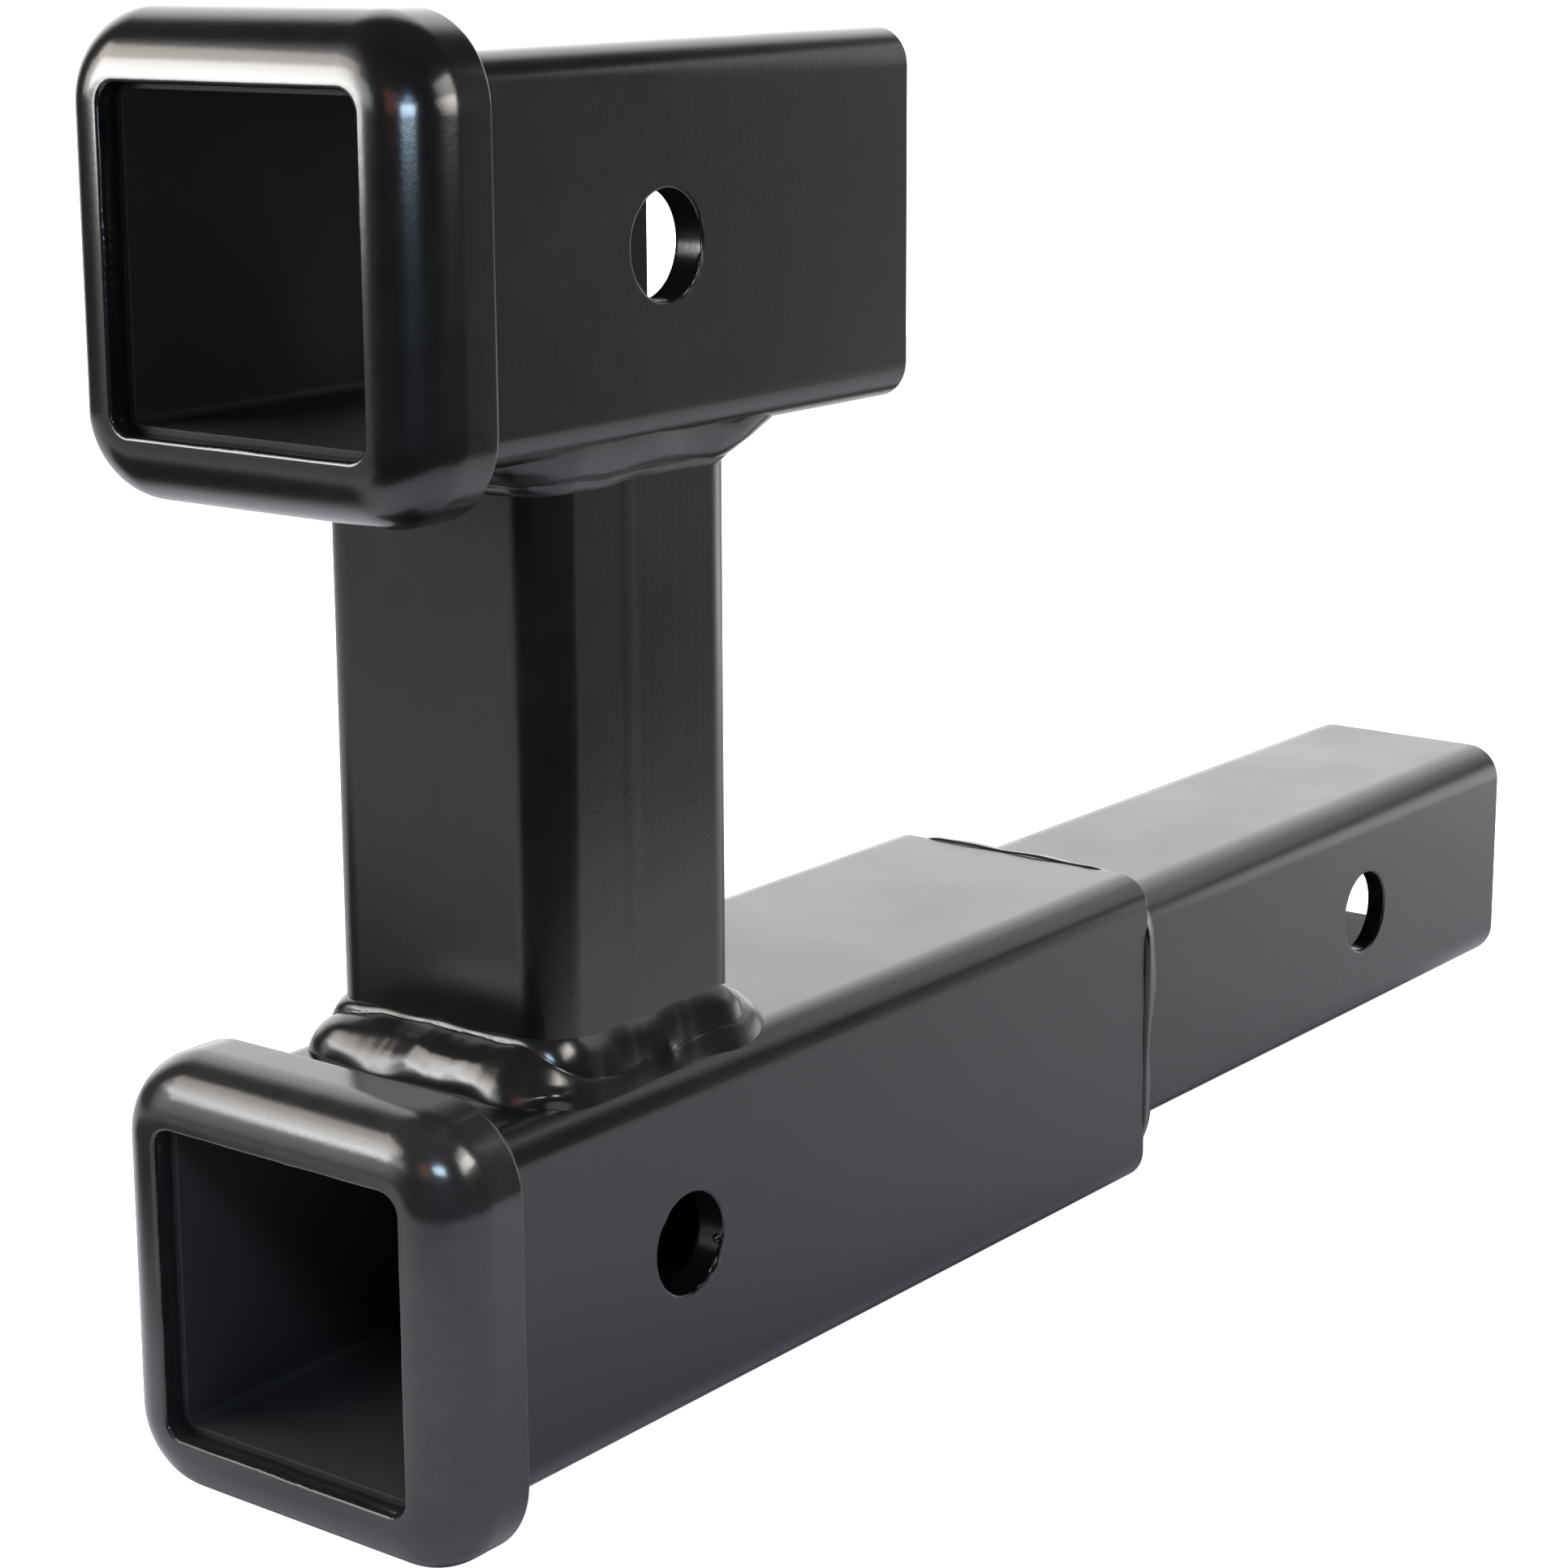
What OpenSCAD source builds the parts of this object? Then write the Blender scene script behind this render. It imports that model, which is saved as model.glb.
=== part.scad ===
// Hitch receiver extender
// A square shank slides into a vehicle's receiver and carries a long lower receiver.
// A riser post stands on the lower receiver and carries a shorter upper receiver.
// The origin is the centre of the shank's pin hole, +X runs to the shank's free end,
// both receivers open towards -X, and +Z is up.

/* [Shank] */
// Outer width of the square shank. The receivers are sized to take one like it.
shank_w = 50.8; // [48:0.1:54]
// Wall of the shank
shank_wall = 4.3; // [3:0.1:6]
// Outer corner radius of the shank
shank_corner_r = 7.5; // [4.5:0.25:9]
// Inner corner radius of the shank
shank_inner_r = 3.2; // [1:0.1:5]
// Length of the shank outside the lower receiver
shank_reach = 169.3; // [120:0.1:260]
// Length of the shank inside the lower receiver
shank_insert = 60; // [30:1:100]

/* [Receiver tubes] */
// Clearance on each side between a shank and the inside of a receiver
receiver_slip = 0.8; // [0.3:0.1:1.5]
// Wall of both receiver tubes
receiver_wall = 5.8; // [4.5:0.1:7]
// Outer corner radius of both receiver tubes
receiver_corner_r = 6.5; // [5:0.25:9]
// Inner corner radius of both receiver tubes
receiver_inner_r = 1.5; // [0.5:0.25:3]
// Length of the upper receiver, from its mouth to its rear end
upper_len = 132.7; // [120:0.1:220]
// Length of the lower receiver, from its mouth to its rear end
lower_len = 215.5; // [190:0.1:320]
// Height of the upper receiver's centre line above the lower one
rise = 170; // [130:1:300]
// How far the upper mouth stands ahead of the lower mouth
upper_lead = 1.9; // [-5:0.1:12]

/* [Collars] */
// Slip clearance between each collar and its tube
collar_slip = 0.15; // [0.05:0.05:0.5]
// Wall of each collar, over its tube
collar_wall = 6.65; // [5:0.05:9]
// Depth of each collar, from its front to its back edge
collar_depth = 17.6; // [13:0.1:26]
// Thickness of the lip that covers the tube's end
lip_t = 4.3; // [2.5:0.1:7]
// How far the mouth's edge stands back from the tube's inside
mouth_step = 1.1; // [0:0.1:2]
// Corner radius of the mouth. The collar's outer corners share its centres.
mouth_corner_r = 3.5; // [1.5:0.25:5]
// Radius of the roll along the mouth's edge
mouth_edge_r = 0.7; // [0.4:0.1:2]
// Radius of the roll round each collar's front
nose_r = 10.6; // [4:0.1:11]
// Radius of the collar's outer edge at its back
collar_back_r = 0.7; // [0.2:0.1:2]

/* [Riser post] */
// Outer width of the square post
post_w = 50.8; // [44:0.1:54]
// Wall of the post
post_wall = 4.3; // [3:0.1:6]
// Outer corner radius of the post
post_corner_r = 7.5; // [4.5:0.25:9]
// Inner corner radius of the post
post_inner_r = 3.2; // [1:0.1:5]
// Distance from the lower mouth back to the post's front face
post_setback = 40.5; // [32:0.5:60]

/* [Pin holes] */
// Diameter of every cross pin hole
pin_hole_d = 18; // [13.5:0.1:20]
// Chamfer on the outer edge of every pin hole
pin_hole_break = 0.4; // [0.1:0.1:1]
// Distance from the upper mouth to its pin hole
upper_pin_from_mouth = 66.3; // [55:0.1:80]
// Distance from the lower mouth to its pin hole
lower_pin_from_mouth = 67.9; // [55:0.1:80]
// Distance from the shank's free end to its pin hole
shank_pin_from_end = 64.6; // [40:0.1:90]

/* [Post welds] */
// Height of the lower weld up the post
lower_weld_up = 9; // [5:0.1:12]
// The same height behind the post, where the lower bead is slimmer
lower_weld_rear_up = 6.6; // [4:0.2:11]
// Reach of the lower weld in front of and behind the post
lower_weld_out = 8.6; // [5:0.1:12]
// Height of the upper weld down the post
upper_weld_up = 6.6; // [5:0.1:12]
// Height of the upper weld down the post's rear face
upper_weld_rear_up = 5.2; // [4:0.1:12]
// Reach of the upper weld in front of and behind the post
upper_weld_out = 9; // [5:0.1:12]
// Reach of both post welds out over the tubes' rounded sides
post_weld_side = 4.4; // [2:0.1:5]
// Bulge of both post welds
post_weld_crown = 0.8; // [0.4:0.1:2]
// Share of the face that the run next to the post takes, in front of the post and behind it
run_split = 0.3; // [0.25:0.01:0.75]
// The same share at the post's two sides
run_split_side = 0.66; // [0.25:0.01:0.75]
// Height of the slow lumps along the post welds
post_weld_lump = 0.9; // [0:0.05:1.2]

/* [Shank and collar welds] */
// Reach of the shank weld out over the tube's end
shank_weld_out = 6.3; // [3:0.1:6.5]
// Reach of the shank weld along the shank
shank_weld_up = 5; // [3:0.1:8]
// Bulge of the shank weld
shank_weld_crown = 1.5; // [0.4:0.1:2]
// Reach of each collar weld out over the collar's back
collar_weld_out = 4.6; // [2.5:0.1:6]
// Reach of each collar weld along the tube
collar_weld_up = 5; // [3:0.1:8]
// Bulge of each collar weld
collar_weld_crown = 0.9; // [0.2:0.1:2]
// Height of the slow lumps along the shank and collar welds
seam_weld_lump = 0.35; // [0:0.05:0.8]

/* [Bead surface] */
// Height of the ripples that each bead was laid down in
ripple_h = 0.2; // [0:0.05:0.6]
// Distance from one ripple to the next
ripple_pitch = 7; // [4:0.1:12]

/* [Hidden] */
$fn = 96;

// Cutting tools run this far past the faces that they cut
over = 1;
// Raw beads are sunk this far into the pieces they join, and are then cut back to them
bead_sink = 0.3;
bead_embed = 0.9;
// Stations along each straight side and each corner of a bead, and steps across each of its runs
bead_side_steps = 20;
bead_corner_steps = 7;
bead_run_steps = 5;
// A run is blunt: its bulge climbs faster than a sine at both edges
run_power = 0.75;
// Two runs side by side bulge this much more than one run of the same width
pair_bulge = 1.7;
tube_black = [0.06, 0.06, 0.065];
collar_black = [0.03, 0.03, 0.035];
weld_black = [0.02, 0.02, 0.022];

receiver_w = shank_w + 2*(receiver_slip + receiver_wall);
lower_rear_x = shank_pin_from_end - shank_reach;
lower_mouth_x = lower_rear_x - lower_len;
upper_mouth_x = lower_mouth_x - upper_lead;
upper_rear_x = upper_mouth_x + upper_len;
post_x = lower_mouth_x + post_setback + post_w/2;
receiver_half = receiver_w/2;
receiver_flat = receiver_half - receiver_corner_r;
collar_w = receiver_w + 2*(collar_slip + collar_wall);
mouth_wall = collar_slip + collar_wall + receiver_wall - mouth_step;
collar_corner_r = mouth_corner_r + mouth_wall;
// A narrow flat is left between the two rolls on the crest of a collar's front
crest_flat = 0.2;
nose_roll_r = min(nose_r, mouth_wall - mouth_edge_r - crest_flat);

// A square with rounded corners, centred
module rounded_square(w, r) {
    square([w, w - 2*r], center = true);
    square([w - 2*r, w], center = true);
    for (x = [-1, 1], y = [-1, 1])
        translate([x*(w/2 - r), y*(w/2 - r)]) circle(r = r);
}

// A hollow square section, centred
module tube_section(w, wall, outer_r, inner_r) {
    difference() {
        rounded_square(w, outer_r);
        rounded_square(w - 2*wall, inner_r);
    }
}

// Stands the 2D children along X, from x0 to x1
module along_x(x0, x1) {
    translate([x0, 0, 0]) rotate([0, 90, 0]) linear_extrude(x1 - x0) children();
}

// The space that a receiver tube fills, walls and inside, from x0 to x1
module receiver_envelope(x0, x1) {
    along_x(x0, x1) rounded_square(receiver_w, receiver_corner_r);
}

// A square ring whose four sides and corners all have the 2D children's section.
// The section's x runs out from the corner's axis, and its y runs up.
module swept_square(w, r) {
    flat = w - 2*r;
    for (quarter = [0:3]) rotate(90*quarter) translate([flat/2, flat/2, 0]) {
        rotate([90, 0, 0]) linear_extrude(flat) children();
        rotate_extrude(angle = 90) children();
    }
}

// A quarter disc whose square corner is at the origin and whose arc faces +X -Y
module quarter_disc(r) {
    intersection() {
        circle(r = r);
        translate([0, -r]) square(r);
    }
}

// The section of a collar's wall, from the mouth outwards. A wide roll and a small one meet on
// the crest of the front, and a small one rounds the back's outer edge.
module collar_section() {
    outer = collar_corner_r;
    crest = mouth_corner_r + mouth_edge_r;
    translate([mouth_corner_r, mouth_edge_r]) square([mouth_edge_r, collar_depth - mouth_edge_r]);
    translate([crest, mouth_edge_r]) mirror([1, 0, 0]) quarter_disc(mouth_edge_r);
    translate([crest, 0]) square([outer - nose_roll_r - crest, collar_depth]);
    translate([outer - nose_roll_r, nose_roll_r]) {
        quarter_disc(nose_roll_r);
        square([nose_roll_r, collar_depth - nose_roll_r - collar_back_r]);
        square([nose_roll_r - collar_back_r, collar_depth - nose_roll_r]);
    }
    translate([outer - collar_back_r, collar_depth - collar_back_r])
        mirror([0, 1, 0]) quarter_disc(collar_back_r);
}

// Pressed steel ring round a receiver's mouth. Its lip covers the tube's end.
module collar(mouth_x) {
    translate([mouth_x, 0, 0]) rotate([0, 90, 0]) difference() {
        swept_square(collar_w, collar_corner_r) collar_section();
        translate([0, 0, lip_t]) linear_extrude(collar_depth)
            rounded_square(receiver_w + 2*collar_slip, receiver_corner_r + collar_slip);
    }
}

// Cross hole along Y through a square of width w, its two outer edges chamfered
module pin_hole(w) {
    hole_r = pin_hole_d/2;
    rotate([90, 0, 0]) cylinder(r = hole_r, h = w + 2*over, center = true);
    for (side = [-1, 1]) rotate([90*side, 0, 0]) translate([0, 0, w/2 - pin_hole_break])
        cylinder(r1 = hole_r, r2 = hole_r + pin_hole_break + over, h = pin_hole_break + over);
}

// Square receiver tube with a cross hole, from behind the collar's lip to its rear end
module receiver_tube(mouth_x, rear_x, pin_from_mouth) {
    difference() {
        along_x(mouth_x + lip_t, rear_x)
            tube_section(receiver_w, receiver_wall, receiver_corner_r, receiver_inner_r);
        translate([mouth_x + pin_from_mouth, 0, 0]) pin_hole(receiver_w);
    }
}

// A point turned about the origin by angle a
function turned(p, a) = [p.x*cos(a) - p.y*sin(a), p.x*sin(a) + p.y*cos(a)];

// Stations round a rounded square. Each holds its point, the angle of its outward normal,
// and the distance walked to it along the outline.
function ring_stations(half, r) = [
    for (quarter = [0:3], i = [0:bead_side_steps + bead_corner_steps - 1])
        let (
            flat = half - r,
            on_side = i < bead_side_steps,
            t = on_side ? i/bead_side_steps : (i - bead_side_steps)/bead_corner_steps,
            arc = r*PI/2,
            p = on_side ? [half, flat*(2*t - 1)] : [flat + r*cos(90*t), flat + r*sin(90*t)],
            walked = on_side ? 2*flat*t : 2*flat + arc*t
        )
        [turned(p, 90*quarter), 90*quarter + (on_side ? 0 : 90*t), quarter*(2*flat + arc) + walked]
];

// Length of a rounded square's outline
function ring_length(half, r) = 4*(2*(half - r) + r*PI/2);

// Slow uneven swelling of a hand-laid bead, between -1 and 1. t goes from 0 to 1 round the ring.
function lump(t, seed) =
    0.5*sin(360*5*t + seed) + 0.3*sin(360*9*t + 2.3*seed) + 0.2*sin(360*14*t + 3.1*seed);

// Height of the ripple at t round the ring and u across the face, between 0 and 1
function ripple(t, u, count) = abs(sin(180*count*t + 55*sin(180*u)));

// Steps across a bead's face from the wall to the toe, each with its place u and its bulge. The face
// is one run, or two runs that meet at u = split.
function face_steps(split) = [
    for (run = split == 0 ? [[0, 1, 1]] : [[0, split, pair_bulge], [split, 1 - split, pair_bulge]],
            j = [(run[0] == 0 ? 0 : 1):bead_run_steps])
        let (x = j/bead_run_steps)
        [run[0] + run[1]*x, j == 0 || j == bead_run_steps ? 0 : run[1]*run[2]*pow(sin(180*x), run_power)]
];

// How far a receiver's outside falls below its flat at distance y from the middle
function tube_fall(y) = y <= receiver_flat ? 0
    : receiver_corner_r - sqrt(max(0, pow(receiver_corner_r, 2) - pow(y - receiver_flat, 2)));

// Raw weld bead round a rounded square. It rises along +Z from Z = 0, rear_up high on its +X side,
// and stands out to the sides: out_x along X, out_y along Y. split is [along X, along Y] for a bead
// of two runs. Where on_tube is true the ground falls away as a tube's corner does.
module raw_bead(half, r, up, rear_up, out_x, out_y, crown, split, lump_h, seed, on_tube) {
    stations = ring_stations(half, r);
    ring_len = ring_length(half, r);
    count = round(ring_len/ripple_pitch);
    deep = bead_embed + (on_tube ? receiver_corner_r/2 : 0);
    section_points = len(face_steps(split.x)) + 3;
    points = [
        for (station = stations)
            let (
                t = station[2]/ring_len,
                a = station[1],
                swell = lump(t, seed),
                out = out_y + (out_x - out_y)*pow(cos(a), 2) + 0.6*lump_h*swell,
                rise_here = up + (rear_up - up)*pow(max(0, cos(a)), 2) + lump_h*lump(t, seed + 70),
                toe = station[0] + out*[cos(a), sin(a)],
                fall = on_tube ? tube_fall(abs(toe.y)) : 0,
                split_here = split.y + (split.x - split.y)*pow(cos(a), 2),
                face = [
                    for (step = face_steps(split_here))
                        let (
                            u = step[0],
                            bulge = step[1]*(crown + ripple_h*ripple(t, u, count) + 0.5*lump_h*swell)
                        )
                        [out*u + bulge*0.7 - bead_sink,
                            rise_here*(1 - u) - (fall + bead_sink)*u + bulge*0.7]
                ],
                section = concat([[-bead_embed, rise_here]], face,
                    [[out - bead_sink, -deep], [-bead_embed, -deep]])
            )
            for (q = section) [each (station[0] + q.x*[cos(a), sin(a)]), q.y]
    ];
    station_count = len(stations);
    faces = [
        for (i = [0:station_count - 1], j = [0:section_points - 1])
            let (
                i2 = (i + 1) % station_count,
                j2 = (j + 1) % section_points,
                p00 = i*section_points + j,
                p01 = i*section_points + j2,
                p10 = i2*section_points + j,
                p11 = i2*section_points + j2
            )
            each [[p00, p11, p01], [p00, p10, p11]]
    ];
    polyhedron(points = points, faces = faces);
}

// The post's outer shape, between the two tubes' centre lines
module post_envelope() {
    translate([post_x, 0, 0]) linear_extrude(rise) rounded_square(post_w, post_corner_r);
}

module shank_tube() {
    color(tube_black) difference() {
        along_x(lower_rear_x - shank_insert, shank_pin_from_end)
            tube_section(shank_w, shank_wall, shank_corner_r, shank_inner_r);
        pin_hole(shank_w);
    }
}

module lower_receiver_tube() {
    color(tube_black) receiver_tube(lower_mouth_x, lower_rear_x, lower_pin_from_mouth);
}

module upper_receiver_tube() {
    color(tube_black) translate([0, 0, rise])
        receiver_tube(upper_mouth_x, upper_rear_x, upper_pin_from_mouth);
}

module lower_collar() {
    color(collar_black) collar(lower_mouth_x);
}

module upper_collar() {
    color(collar_black) translate([0, 0, rise]) collar(upper_mouth_x);
}

// Square post, both ends cut to the outsides of the tubes that it stands between
module riser_post() {
    color(tube_black) difference() {
        translate([post_x, 0, receiver_flat]) linear_extrude(rise - 2*receiver_flat)
            tube_section(post_w, post_wall, post_corner_r, post_inner_r);
        receiver_envelope(lower_mouth_x, lower_rear_x);
        translate([0, 0, rise]) receiver_envelope(upper_mouth_x, upper_rear_x);
    }
}

// Bead between the post's foot and the top of the lower tube
module post_lower_weld() {
    color(weld_black) difference() {
        translate([post_x, 0, receiver_half])
            raw_bead(post_w/2, post_corner_r, lower_weld_up, lower_weld_rear_up, lower_weld_out,
                post_weld_side, post_weld_crown, [run_split, run_split_side], post_weld_lump, 25, true);
        post_envelope();
        receiver_envelope(lower_mouth_x, lower_rear_x);
    }
}

// Bead between the post's head and the underside of the upper tube
module post_upper_weld() {
    color(weld_black) difference() {
        translate([post_x, 0, rise - receiver_half]) mirror([0, 0, 1])
            raw_bead(post_w/2, post_corner_r, upper_weld_up, upper_weld_rear_up, upper_weld_out,
                post_weld_side, post_weld_crown, [run_split, run_split_side], post_weld_lump, 140, true);
        post_envelope();
        translate([0, 0, rise]) receiver_envelope(upper_mouth_x, upper_rear_x);
    }
}

// Bead round the shank where it comes out of the lower tube
module shank_weld() {
    color(weld_black) difference() {
        translate([lower_rear_x, 0, 0]) rotate([0, 90, 0])
            raw_bead(shank_w/2, shank_corner_r, shank_weld_up, shank_weld_up, shank_weld_out,
                shank_weld_out, shank_weld_crown, [0, 0], seam_weld_lump, 60, false);
        along_x(lower_rear_x - shank_insert, shank_pin_from_end)
            rounded_square(shank_w, shank_corner_r);
        along_x(lower_mouth_x, lower_rear_x) rounded_square(collar_w, collar_corner_r);
    }
}

// Bead between a collar's back and its tube
module collar_weld(mouth_x, rear_x, seed) {
    back_x = mouth_x + collar_depth;
    color(weld_black) difference() {
        translate([back_x, 0, 0]) rotate([0, 90, 0])
            raw_bead(receiver_half, receiver_corner_r, collar_weld_up, collar_weld_up, collar_weld_out,
                collar_weld_out, collar_weld_crown, [0, 0], seam_weld_lump, seed, false);
        receiver_envelope(mouth_x, rear_x);
        along_x(mouth_x, back_x) rounded_square(collar_w, collar_corner_r);
    }
}

module lower_collar_weld() {
    collar_weld(lower_mouth_x, lower_rear_x, 15);
}

module upper_collar_weld() {
    translate([0, 0, rise]) collar_weld(upper_mouth_x, upper_rear_x, 200);
}

shank_tube();
lower_receiver_tube();
lower_collar();
riser_post();
upper_receiver_tube();
upper_collar();
shank_weld();
post_lower_weld();
post_upper_weld();
lower_collar_weld();
upper_collar_weld();
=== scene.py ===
import bpy
import bmesh
import numpy as np
from mathutils import Matrix


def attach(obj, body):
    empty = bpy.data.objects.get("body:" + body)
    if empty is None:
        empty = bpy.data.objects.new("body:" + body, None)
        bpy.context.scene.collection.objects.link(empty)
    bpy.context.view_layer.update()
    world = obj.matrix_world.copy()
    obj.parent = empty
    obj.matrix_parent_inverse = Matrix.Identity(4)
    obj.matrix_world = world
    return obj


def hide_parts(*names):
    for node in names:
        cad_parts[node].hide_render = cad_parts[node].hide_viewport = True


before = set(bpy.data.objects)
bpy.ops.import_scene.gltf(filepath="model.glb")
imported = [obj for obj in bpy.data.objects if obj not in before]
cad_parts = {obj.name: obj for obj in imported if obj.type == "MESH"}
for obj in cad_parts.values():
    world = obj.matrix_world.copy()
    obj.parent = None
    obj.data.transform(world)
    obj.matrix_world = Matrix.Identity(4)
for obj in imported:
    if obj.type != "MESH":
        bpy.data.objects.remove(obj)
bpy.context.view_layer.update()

# Lower receiver tube. Thick-walled square steel tube, sawn to length, with a hole drilled through
# its two sides for the hitch pin, then powder coated black with the rest of the weldment.
LOWER_MOUTH_X = -0.3202
LOWER_REAR_X = -0.1047
RECEIVER_HALF = 0.032
RECEIVER_R = 0.0065
RECEIVER_IN_HALF = 0.0262
RECEIVER_IN_R = 0.0015
LIP = 0.0043
PIN_R = 0.009
LOWER_PIN_X = -0.2523


def side_stations(corner_cells, end_cells, patch, patch_cells, hold):
    """Stations along one side of a rounded square and round the corner after it. A station of the
    side lies at w * flat + c, flat being half of the straight length: narrow holding cells at both
    ends, even cells between -patch and patch, and a straight blend from w = 1 to w = 0 between."""
    t = np.linspace(0, 1, end_cells + 1)
    w0 = np.concatenate([[1.0], (1 - t)[:-1]])
    c0 = np.concatenate([[0.0], (-hold * (1 - t) + patch * t)[:-1]])
    mid = np.linspace(-patch, patch, patch_cells + 1)
    w = np.concatenate([-w0, np.zeros(patch_cells + 1), w0[::-1]])
    c = np.concatenate([-c0, mid, c0[::-1]])
    a = np.linspace(0, np.pi / 2, corner_cells + 1)[1:-1]
    return w, c, a, len(w0)


def square_loops(x, half, r, stations):
    """Rounded squares across X, one for each x. On a side the point is (half, w flat + c), on a
    corner (flat + r cos a, flat + r sin a), with flat = half - r, and four quarter turns of these
    close the loop."""
    w, c, a, _ = stations
    x, half, r = (np.asarray(v, float)[:, None] for v in (x, half, r))
    flat = half - r
    y = np.hstack([half + 0 * w, flat + r * np.cos(a)])
    z = np.hstack([flat * w + c, flat + r * np.sin(a)])
    yy = np.hstack([y, -z, -y, z])
    zz = np.hstack([z, y, -z, -y])
    return np.stack([x + 0 * yy, yy, zz], axis=2)


def tube_loops(x_cells, half, r, in_half, in_r, edge, hold):
    """Loops that run along a tube's outer skin, over the rounded rim of one end, back along the
    inner skin and over the other rim: arrays of x, half width and corner radius."""
    x0, x1 = x_cells[0], x_cells[-1]
    skin = np.concatenate([[x0 + edge, x0 + edge + hold], x_cells[1:-1],
                           [x1 - edge - hold, x1 - edge]])
    a = np.linspace(0, np.pi / 2, 6)[1:-1]
    over_x, over_h = edge * np.sin(a), edge * (1 - np.cos(a))
    face_h = np.array([half - edge, half - edge - hold, in_half + edge + hold, in_half + edge])
    face_r = np.array([r - edge, r - edge - hold, in_r + edge + hold, in_r + edge])
    into_h = edge * np.sin(a)
    into_x = edge * (1 - np.cos(a))
    x = np.concatenate([skin, x1 - edge + over_x, np.full(4, x1), x1 - into_x,
                        skin[::-1], x0 + into_x[::-1], np.full(4, x0), x0 + edge - over_x[::-1]])
    h = np.concatenate([np.full(len(skin), half), half - over_h, face_h,
                        in_half + edge - into_h, np.full(len(skin), in_half),
                        in_half + edge - into_h[::-1], face_h[::-1], half - over_h[::-1]])
    q = np.concatenate([np.full(len(skin), r), r - over_h, face_r,
                        in_r + edge - into_h, np.full(len(skin), in_r),
                        in_r + edge - into_h[::-1], face_r[::-1], r - over_h[::-1]])
    return x, h, q, len(skin)


def ring_quads(index_grid):
    """Quads between neighbouring rows of an index grid whose rows close on themselves."""
    a, b = index_grid[:-1], index_grid[1:]
    return np.stack([a, np.roll(a, -1, 1), np.roll(b, -1, 1), b], axis=2).reshape(-1, 4)


def pin_tube(x0, x1, half, r, in_half, in_r, pins=(), burr=0.0, edge=0.0005):
    """A square tube along X, drilled through both sides at each x in pins. The tube is a grid of
    loops by stations. Round each hole a square patch of cells is left out, and rings carry its
    border to the hole's rounded rim, through the wall and back out to the inner skin's patch:
    ring = centre + radius (cos a, sin a), with a the border point's own angle. burr is the height
    of the lumps on the near hole's rim, each a bell curve over the angle."""
    patch, cells, cell_length, hold, rim = 0.0125, 24, 0.008, 0.0004, 0.0005
    corner_cells, end_cells, rim_loops = 14, 3, 12
    lumps = ((-0.35, 0.10, 1.0), (-0.62, 0.07, 0.8), (-0.95, 0.09, 0.7), (0.30, 0.08, 0.5),
             (-1.35, 0.06, 0.4), (2.4, 0.1, 0.25))
    stations = side_stations(corner_cells, end_cells, patch, cells, hold)
    cuts = [x0] + [p + d for p in pins for d in (-patch, patch)] + [x1]
    xs = []
    for i, (a, b) in enumerate(zip(cuts[:-1], cuts[1:])):
        n = cells if i % 2 else max(2, int((b - a) / cell_length))
        xs.append(np.linspace(a, b, n + 1)[:-1])
    xs = np.concatenate(xs + [[x1]])
    x, h, q, skin = tube_loops(xs, half, r, in_half, in_r, edge, hold)
    grid = square_loops(x, h, q, stations)
    loops, around = grid.shape[:2]
    flat = grid.reshape(-1, 3)
    index = np.arange(len(flat)).reshape(loops, around)
    keep = np.ones((loops, around), bool)
    points, quads, count = [flat], [], len(flat)
    walk = np.arange(cells + 1)
    a = np.linspace(0, np.pi / 2, 6)
    rim_radius = np.concatenate([PIN_R + rim - rim * np.sin(a), [PIN_R, PIN_R],
                                 PIN_R + rim - rim * np.sin(a[::-1])])
    rim_depth = np.concatenate([half - rim + rim * np.cos(a),
                                [half - rim - hold, in_half + rim + hold],
                                in_half + rim - rim * np.cos(a[::-1])])
    rim_swell = np.concatenate([np.sin(np.linspace(0.2, np.pi, 6)), np.zeros(8)])
    for p in pins:
        i0 = 1 + int(np.argmin(np.abs(xs - (p - patch))))
        i_in = 2 * skin + rim_loops - 1 - i0 - cells
        for turns, way in ((0, 1.0), (2, -1.0)):
            j0 = turns * (around // 4) + stations[3]
            keep[i0:i0 + cells, j0:j0 + cells] = False
            keep[i_in:i_in + cells, j0:j0 + cells] = False

            def border(first, step):
                rows, cols = first + step * walk, j0 + walk
                return np.concatenate([index[rows[:-1], cols[0]], index[rows[-1], cols[:-1]],
                                       index[rows[:0:-1], cols[-1]], index[rows[0], cols[:0:-1]]])
            outer, inner = border(i0, 1), border(i_in + cells, -1)
            ang = np.arctan2(flat[outer, 2], flat[outer, 0] - p)
            lump = np.zeros_like(ang)
            if way < 0:
                for at, wide, high in lumps:
                    lump += high * burr * np.exp(-((ang - at) / wide) ** 2)

            def circle(radius, depth, swell):
                radius = radius - lump * 0.7 * swell
                return np.stack([p + radius * np.cos(ang), way * (depth + lump * swell * 0.5),
                                 radius * np.sin(ang)], axis=1)
            rings = [flat[outer] * (1 - f) + circle(PIN_R + rim, half, 0) * f
                     for f in (0.3, 0.6, 0.85, 0.95)]
            rings += [circle(*ring) for ring in zip(rim_radius, rim_depth, rim_swell)]
            rings += [flat[inner] * (1 - f) + circle(PIN_R + rim, in_half, 0) * f
                      for f in (0.95, 0.6, 0.3)]
            rings = np.stack(rings)
            own = count + np.arange(rings.shape[0] * rings.shape[1]).reshape(rings.shape[:2])
            quads.append(ring_quads(np.vstack([outer[None], own, inner[None]])))
            points.append(rings.reshape(-1, 3))
            count += own.size
    nxt = np.roll(index, -1, 0)
    cell = np.stack([index, nxt, np.roll(nxt, -1, 1), np.roll(index, -1, 1)], axis=2)
    quads.append(cell[keep])
    return np.vstack(points), np.vstack(quads)


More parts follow.
